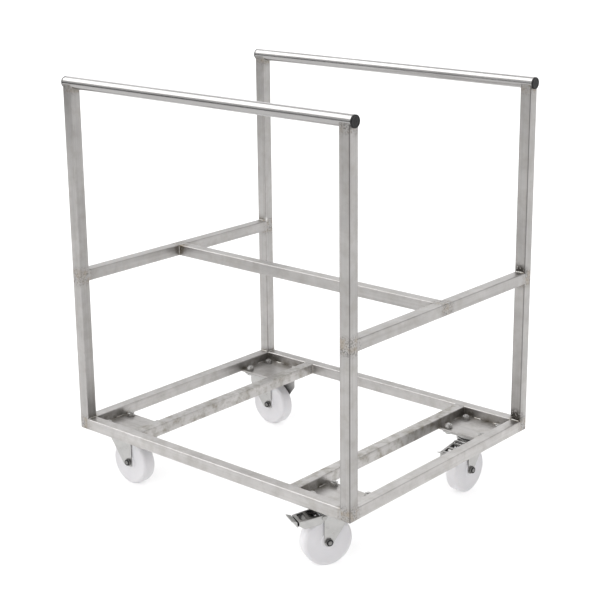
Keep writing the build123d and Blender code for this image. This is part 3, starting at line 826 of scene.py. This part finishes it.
class TROLLEY_OT_saddle_welds(Operator):
    """Runs a bead round the saddle where each upright carries its handle"""
    bl_idname = "trolley.saddle_welds"
    bl_label = "Saddle Welds"

    def execute(self, context):
        welds = context.scene.trolley_welds
        metal = finish_of("weld_metal", weld_metal)
        handle_radius = (high("front_handle").z - low("front_handle").z) / 2
        rings = 64
        ring = start(bpy.ops.mesh.primitive_torus_add, major_segments=rings, minor_segments=8,
                     major_radius=handle_radius, minor_radius=welds.saddle)
        pick(ring, "VERT", lambda at: round(math.atan2(at.y, at.x) / math.tau * rings) % 2 == 0)
        bpy.ops.transform.shrink_fatten(value=-0.22 * welds.saddle)
        bpy.ops.mesh.select_all(action="SELECT")
        bpy.ops.mesh.bisect(plane_co=(0, -welds.saddle_top, 0), plane_no=(0, 1, 0),
                            use_fill=True, clear_outer=True)
        close_up(ring, 60)
        turn = Matrix(((0, 0, 1), (1, 0, 0), (0, 1, 0))).to_4x4()
        for end in ENDS:
            at = middle(f"{end}_handle")
            faces = high(f"{end}_left_upright").x, low(f"{end}_right_upright").x
            places = [Matrix.Translation((x, at.y, at.z)) @ turn for x in faces]
            lay(ring, places, f"{end}_saddle_welds", metal)
        discard(ring)
        return {"FINISHED"}


class TROLLEY_OT_wheels(Operator):
    """Turns the four nylon wheels, with a rounded tread, a shallow dish and a raised hub"""
    bl_idname = "trolley.wheels"
    bl_label = "Wheels"

    def execute(self, context):
        wheels = context.scene.trolley_wheels
        nylon = wheel_nylon()
        radius = (high("front_left_wheel").z - low("front_left_wheel").z) / 2
        half = wheels.tread / 2
        wheel = start(bpy.ops.mesh.primitive_cylinder_add, vertices=96, radius=radius, depth=wheels.tread)
        pick(wheel, "EDGE", lambda a, b: abs(a.z - b.z) < MM)
        bpy.ops.mesh.bevel(offset=wheels.round_edge, segments=8, affect="EDGES")
        for way in (-1, 1):
            pick(wheel, "FACE", lambda at, facing: facing.z * way > 0.999 and at.z * way > half - MM / 10)
            # from the lip over the dish to the foot of the hub, up the hub and into the bore
            edge = wheels.lip / 3
            slope = radius - wheels.round_edge - edge - wheels.hub
            rise = wheels.hub_width / 2 - half + wheels.dish
            for inset, drop in (
                (edge, 0), (2 * edge, 0.5 * MM), (0.45 * slope, 0.35 * MM),
                (0.55 * slope - 4 * MM, wheels.dish - 0.85 * MM), (1.6 * MM, 0),
                (1.2 * MM, -0.7 * rise), (0.8 * MM, -0.3 * rise),
                (wheels.hub - 3 * MM - wheels.bore, 0), (wheels.bore_edge, wheels.bore_edge),
            ):
                bpy.ops.mesh.inset(thickness=inset)
                bpy.ops.transform.translate(value=(0, 0, -way * drop))
            inward = (0, 0, -way * wheels.bore_depth)
            bpy.ops.mesh.extrude_region_move(TRANSFORM_OT_translate={"value": inward})
        close_up(wheel, 40)
        for corner in CORNERS:
            name = f"{corner}_wheel"
            piece = copy_to(wheel, f"{corner}_nylon_wheel", castor_frame(corner))
            dress(piece, nylon, body_of(name), "nylon", name)
        discard(wheel)
        return {"FINISHED"}


class TROLLEY_OT_end_caps(Operator):
    """Moulds the four black end caps of the handles"""
    bl_idname = "trolley.end_caps"
    bl_label = "End Caps"

    def execute(self, context):
        fittings = context.scene.trolley_fittings
        plastic = moulded_plastic()
        tube_end = high("front_handle").x
        reach = high("front_handle_caps").x - tube_end
        radius = (high("front_handle").z - low("front_handle").z) / 2
        cap = start(bpy.ops.mesh.primitive_cylinder_add, vertices=64, radius=radius,
                    depth=reach, location=(0, 0, reach / 2))
        pick(cap, "EDGE", lambda a, b: min(a.z, b.z) > reach / 2)
        bpy.ops.mesh.bevel(offset=fittings.cap_round, segments=5, affect="EDGES")
        pick(cap, "FACE", lambda at, facing: facing.z > 0.99)
        for inset, rise in ((fittings.cap_rim, 0), (0.5 * MM, -fittings.cap_groove),
                            (7.5 * MM, fittings.cap_dome), (0.3 * MM, -fittings.cap_gate)):
            bpy.ops.mesh.inset(thickness=inset)
            bpy.ops.transform.translate(value=(0, 0, rise))
        pick(cap, "FACE", lambda at, facing: facing.z < -0.99)
        drawn, wall = fittings.plug_length, fittings.plug_wall
        for inset, way in ((fittings.plug_step, -drawn), (wall, drawn - wall)):
            bpy.ops.mesh.inset(thickness=inset)
            bpy.ops.mesh.extrude_region_move(TRANSFORM_OT_translate={"value": (0, 0, way)})
        close_up(cap, 40)
        for end in ENDS:
            at = middle(f"{end}_handle")
            copies = [copy_to(cap, "cap", stand((way * tube_end, at.y, at.z), (way, 0, 0), (0, 0, 1)))
                      for way in (-1, 1)]
            caps = join(copies, f"{end}_end_caps")
            dress(caps, plastic, "frame", "black_plastic", f"{end}_handle_caps")
        discard(cap)
        return {"FINISHED"}


class TROLLEY_OT_lock_rings(Operator):
    """Rolls the dark locking ring into the outer face of each axle nut"""
    bl_idname = "trolley.lock_rings"
    bl_label = "Lock Rings"

    def execute(self, context):
        fittings = context.scene.trolley_fittings
        plastic = finish_of("moulded_plastic", moulded_plastic)
        ring = start(bpy.ops.mesh.primitive_cylinder_add, vertices=40, radius=fittings.lock_ring,
                     depth=fittings.lock_depth)
        pick(ring, "FACE", lambda at, facing: abs(facing.z) > 0.99)
        bpy.ops.mesh.inset(thickness=fittings.lock_ring - fittings.thread)
        bpy.ops.mesh.delete(type="FACE")
        pick(ring, "EDGE", lambda a, b: max(a.xy.length, b.xy.length) < fittings.thread + MM / 10)
        bpy.ops.mesh.bridge_edge_loops()
        pick(ring, "EDGE", lambda a, b: abs(a.z - b.z) + abs(a.xy.length - b.xy.length) < MM / 10)
        bpy.ops.mesh.bevel(offset=0.25 * MM, segments=2, affect="EDGES")
        close_up(ring, 40)
        for corner in CORNERS:
            nut = f"{corner}_axle_nut"
            own = castor_frame(corner)
            face = own.inverted() @ middle(nut)
            reach = abs(face.z) + fittings.nut_height / 2 - fittings.lock_depth / 6
            at = own @ Matrix.Translation((0, 0, math.copysign(reach, face.z)))
            piece = copy_to(ring, f"{corner}_lock_ring", at)
            dress(piece, plastic, body_of(nut), "black_plastic")
        discard(ring)
        return {"FINISHED"}


class TROLLEY_OT_threads(Operator):
    """Winds the threads that show past the nuts of the plate bolts"""
    bl_idname = "trolley.threads"
    bl_label = "Threads"

    def execute(self, context):
        fittings = context.scene.trolley_fittings
        fastener = finish_of("fastener_steel", fastener_steel)
        turns = 2
        height = 0.6 * fittings.pitch
        ridge = start(bpy.ops.mesh.primitive_circle_add, vertices=3, radius=height,
                      rotation=(math.pi / 2, 0, 0))
        pick(ridge, "VERT", lambda at: True)
        bpy.ops.transform.resize(value=(0.6, 1, 0.6))
        bpy.ops.transform.rotate(value=-math.pi / 2, orient_axis="Y", center_override=(0, 0, 0))
        bpy.ops.transform.translate(value=(fittings.thread - 0.35 * height, 0, 0))
        modify(ridge, "SCREW", angle=math.tau, screw_offset=fittings.pitch, iterations=turns,
               steps=24, render_steps=24, use_normal_calculate=True)
        pick(ridge, "VERT", lambda at: True)
        bpy.ops.mesh.fill_holes(sides=0)
        close_up(ridge, 30)
        rise = turns * fittings.pitch + height
        nut_corner = fittings.nut_flats / 2 / math.cos(math.pi / 6)
        first_y, last_y = low("plate_nuts").y + nut_corner, high("plate_nuts").y - nut_corner
        rows = (first_y, first_y + fittings.plate_pitch_y, last_y - fittings.plate_pitch_y, last_y)
        copies = []
        for side in SIDES:
            for way in (-1, 1):
                x = middle(f"front_{side}_mounting_plate").x + way * fittings.plate_pitch_x / 2
                for y in rows:
                    at = (x, y, high("plate_bolts").z - rise)
                    copies.append(copy_to(ridge, "thread", Matrix.Translation(at)))
        dress(join(copies, "plate_bolt_threads"), fastener, "frame", "fastener_steel")
        discard(ridge)
        return {"FINISHED"}


def lay_floor(stage):
    floor = start(bpy.ops.mesh.primitive_plane_add, size=80)
    floor.name = floor.data.name = "floor"
    material, tree, shader = new_material("floor_paint", Roughness=0.85, IOR=1.3)
    cloud = noise(tree, 1.5, 3.0)
    base = blend(tree, spread(tree, cloud, 0.3, 0.7), scaled(stage.floor, 0.985), stage.floor)
    tree.links.new(base, shader.inputs["Base Color"])
    floor.data.materials.append(material)


def studio(sky):
    # a bright room that the camera sees as white, dimmer to its right, behind it
    # and high up on the left
    world = bpy.data.worlds.new("studio")
    world.use_nodes = True
    tree = world.node_tree
    place = node(tree, "TexCoord").outputs["Generated"]
    tone = (1.0, 1.0, 1.0)
    for direction, first, last, tone_there in (
        ((0.8, 0.6, 0), -0.2, 0.95, (0.55, 0.55, 0.56)),
        ((0, 0, 1), 0.15, 0.8, (1.0, 1.0, 1.0)),
        ((0.63, -0.74, 0.22), 0.72, 0.96, (0.45, 0.45, 0.46)),
        ((-0.6, 0.3, 0.74), 0.88, 0.98, (0.42, 0.42, 0.43)),
    ):
        facing = node(tree, "VectorMath", {0: place, 1: direction}, operation="DOT_PRODUCT")
        tone = blend(tree, spread(tree, facing.outputs["Value"], first, last), tone, tone_there)
    seen = node(tree, "LightPath").outputs["Is Camera Ray"]
    background = tree.nodes["Background"]
    tree.links.new(blend(tree, seen, tone, (1.1, 1.1, 1.1)), background.inputs["Color"])
    background.inputs["Strength"].default_value = sky
    return world


def hang_lights():
    # the key light throws no shadow, because the photograph's floor has nearly none
    for name, aim, soft, power in (
        ("key", (0.63, 0.27, -0.73), 50, 1.5),
        ("fill", (-0.5, 0.5, -0.8), 60, 0.8),
        ("back", (0.60, -0.65, -0.50), 60, 0.5),
    ):
        bpy.ops.object.light_add(type="SUN", location=(0, 0, 4))
        light = bpy.context.object
        light.name = f"{name}_light"
        light.data.angle = math.radians(soft)
        light.data.energy = power
        light.data.use_shadow = name != "key"
        light.rotation_euler = Vector(aim).to_track_quat("-Z", "Y").to_euler()


def hang_band(stage):
    # a dark band round the trolley, seen only where the steel reflects it, and open
    # towards the back right, so that it leaves the edges of the right rails alone
    band = start(bpy.ops.mesh.primitive_cylinder_add, vertices=96, radius=stage.band,
                 depth=stage.band_height, end_fill_type="NOTHING",
                 location=(0, 0, stage.band_foot + stage.band_height / 2))
    opening = Vector((0.667, 0.745, 0))
    pick(band, "FACE", lambda at, facing: at.dot(opening) > 0.6 * stage.band)
    bpy.ops.mesh.delete(type="FACE")
    bpy.ops.object.mode_set(mode="OBJECT")
    band.name = band.data.name = "dark_band"
    cloth = new_material("dark_cloth", Base_Color=(stage.band_tone,) * 3, Roughness=1.0)[0]
    band.data.materials.append(cloth)
    band.visible_camera = band.visible_diffuse = band.visible_shadow = False


def set_camera(stage):
    turn = (Matrix.Rotation(stage.yaw, 4, "Z")
            @ Matrix.Rotation(math.pi / 2 + stage.pitch, 4, "X")
            @ Matrix.Rotation(stage.roll, 4, "Z"))
    bpy.ops.object.camera_add(location=stage.camera, rotation=turn.to_euler())
    camera = bpy.context.object
    camera.name = "photo_camera"
    camera.data.lens = stage.lens
    camera.data.shift_x = stage.shift_x
    camera.data.shift_y = stage.shift_y
    camera.data.clip_end = 200
    bpy.context.scene.camera = camera


class TROLLEY_OT_stage(Operator):
    """Sets the pale floor, the room, the soft lights and the camera"""
    bl_idname = "trolley.stage"
    bl_label = "Stage"

    def execute(self, context):
        stage = context.scene.trolley_stage
        lay_floor(stage)
        context.scene.world = studio(stage.sky)
        hang_lights()
        hang_band(stage)
        set_camera(stage)
        context.scene.view_settings.view_transform = "Standard"
        return {"FINISHED"}


class TROLLEY_PT_panel(Panel):
    """Lists the settings and the steps that dress the trolley"""
    bl_label = "Tub Trolley"
    bl_idname = "TROLLEY_PT_panel"
    bl_space_type = "VIEW_3D"
    bl_region_type = "UI"
    bl_category = "Tub Trolley"

    def draw(self, context):
        layout = self.layout
        for name, heading in GROUPS.items():
            box = layout.box()
            box.label(text=heading)
            settings = getattr(context.scene, name)
            for key in settings.__annotations__:
                box.prop(settings, key)
        for step in STEPS:
            layout.operator(step.bl_idname)


GROUPS = {
    "trolley_steel": "Steel",
    "trolley_welds": "Welds",
    "trolley_wheels": "Wheels",
    "trolley_fittings": "Fittings",
    "trolley_stage": "Stage",
}
SETTINGS = (SteelSettings, WeldSettings, WheelSettings, FittingSettings, StageSettings)
STEPS = (
    TROLLEY_OT_frame_finish,
    TROLLEY_OT_castor_finish,
    TROLLEY_OT_weld_beads,
    TROLLEY_OT_flush_welds,
    TROLLEY_OT_plate_stitches,
    TROLLEY_OT_saddle_welds,
    TROLLEY_OT_wheels,
    TROLLEY_OT_end_caps,
    TROLLEY_OT_lock_rings,
    TROLLEY_OT_threads,
    TROLLEY_OT_stage,
)


def register():
    for kind in (*SETTINGS, *STEPS, TROLLEY_PT_panel):
        bpy.utils.register_class(kind)
    for name, kind in zip(GROUPS, SETTINGS):
        setattr(bpy.types.Scene, name, PointerProperty(type=kind))


def unregister():
    for name in GROUPS:
        delattr(bpy.types.Scene, name)
    for kind in reversed((*SETTINGS, *STEPS, TROLLEY_PT_panel)):
        bpy.utils.unregister_class(kind)


def main():
    register()
    bpy.ops.trolley.frame_finish()
    bpy.ops.trolley.castor_finish()
    bpy.ops.trolley.weld_beads()
    bpy.ops.trolley.flush_welds()
    bpy.ops.trolley.plate_stitches()
    bpy.ops.trolley.saddle_welds()
    bpy.ops.trolley.wheels()
    bpy.ops.trolley.end_caps()
    bpy.ops.trolley.lock_rings()
    bpy.ops.trolley.threads()
    bpy.ops.trolley.stage()


if __name__ == "__main__":
    main()
